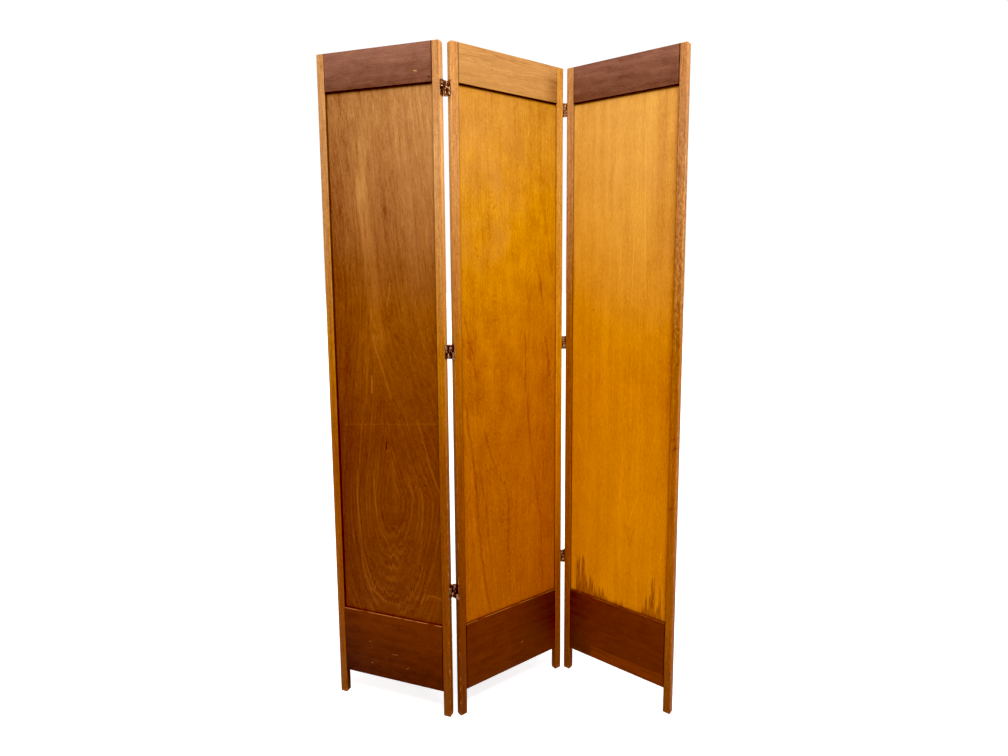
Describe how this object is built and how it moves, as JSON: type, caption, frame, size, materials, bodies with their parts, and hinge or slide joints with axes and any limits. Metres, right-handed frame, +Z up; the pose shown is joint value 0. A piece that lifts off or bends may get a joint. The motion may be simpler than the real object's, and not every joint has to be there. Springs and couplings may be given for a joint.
{
  "type": "folding screen",
  "caption": "Free-standing folding wooden screen: framed plywood panels in a zigzag, on brass double-action hinges, to divide or screen off part of a room.",
  "frame": {"origin": "on the floor, under the middle of the bounding box of the folded screen at rest", "axes": "+Z up, +X along the length of the zigzag from the left panel to the right one, fronts of the panels towards -Y"},
  "size_m": [0.9366, 0.244, 1.75],
  "materials": {
    "stile_wood": "satin varnish, golden brown",
    "red_rail_wood": "satin varnish, red brown",
    "light_rail_wood": "satin varnish, golden",
    "dark_rail_wood": "satin varnish, dark brown",
    "brown_plywood": "satin varnish, brown",
    "honey_plywood": "satin varnish, honey orange",
    "yellow_plywood": "satin varnish, yellow orange",
    "dowel_wood": "bare beech",
    "hinge_brass": "aged, dark, worn bright on the barrels"
  },
  "bodies": {
    "middle_panel": {"middle_panel_left_stile": "stile_wood", "middle_panel_right_stile": "stile_wood", "middle_panel_top_rail": "light_rail_wood", "middle_panel_bottom_rail": "dark_rail_wood", "middle_panel_infill": "honey_plywood", "middle_panel_dowels": "dowel_wood", "left_hinges_top_right_leaf": "hinge_brass", "left_hinges_middle_right_leaf": "hinge_brass", "left_hinges_bottom_right_leaf": "hinge_brass", "left_hinges_top_lower_link": "hinge_brass", "left_hinges_middle_lower_link": "hinge_brass", "left_hinges_bottom_lower_link": "hinge_brass", "left_hinges_right_pins": "hinge_brass", "left_hinges_right_screws": "hinge_brass", "right_hinges_top_left_leaf": "hinge_brass", "right_hinges_middle_left_leaf": "hinge_brass", "right_hinges_bottom_left_leaf": "hinge_brass", "right_hinges_top_lower_link": "hinge_brass", "right_hinges_middle_lower_link": "hinge_brass", "right_hinges_bottom_lower_link": "hinge_brass", "right_hinges_left_pins": "hinge_brass", "right_hinges_left_screws": "hinge_brass"},
    "left_panel": {"left_panel_left_stile": "stile_wood", "left_panel_right_stile": "stile_wood", "left_panel_top_rail": "red_rail_wood", "left_panel_bottom_rail": "dark_rail_wood", "left_panel_infill": "brown_plywood", "left_panel_dowels": "dowel_wood", "left_hinges_top_left_leaf": "hinge_brass", "left_hinges_middle_left_leaf": "hinge_brass", "left_hinges_bottom_left_leaf": "hinge_brass", "left_hinges_top_upper_link": "hinge_brass", "left_hinges_middle_upper_link": "hinge_brass", "left_hinges_bottom_upper_link": "hinge_brass", "left_hinges_left_pins": "hinge_brass", "left_hinges_left_screws": "hinge_brass"},
    "right_panel": {"right_panel_left_stile": "stile_wood", "right_panel_right_stile": "stile_wood", "right_panel_top_rail": "red_rail_wood", "right_panel_bottom_rail": "dark_rail_wood", "right_panel_infill": "yellow_plywood", "right_panel_dowels": "dowel_wood", "right_hinges_top_right_leaf": "hinge_brass", "right_hinges_middle_right_leaf": "hinge_brass", "right_hinges_bottom_right_leaf": "hinge_brass", "right_hinges_top_upper_link": "hinge_brass", "right_hinges_middle_upper_link": "hinge_brass", "right_hinges_bottom_upper_link": "hinge_brass", "right_hinges_right_pins": "hinge_brass", "right_hinges_right_screws": "hinge_brass"}
  },
  "joints": [
    {"name": "left_fold", "type": "hinge", "parent": "middle_panel", "child": "left_panel", "pos_m": [-0.12575, -0.10069, 0], "axis": [0, 0, -1], "range_deg": [-55.5, 124.5]},
    {"name": "right_fold", "type": "hinge", "parent": "middle_panel", "child": "right_panel", "pos_m": [0.17142, 0.10339, 0], "axis": [0, 0, -1], "range_deg": [-73.5, 106.5]}
  ]
}
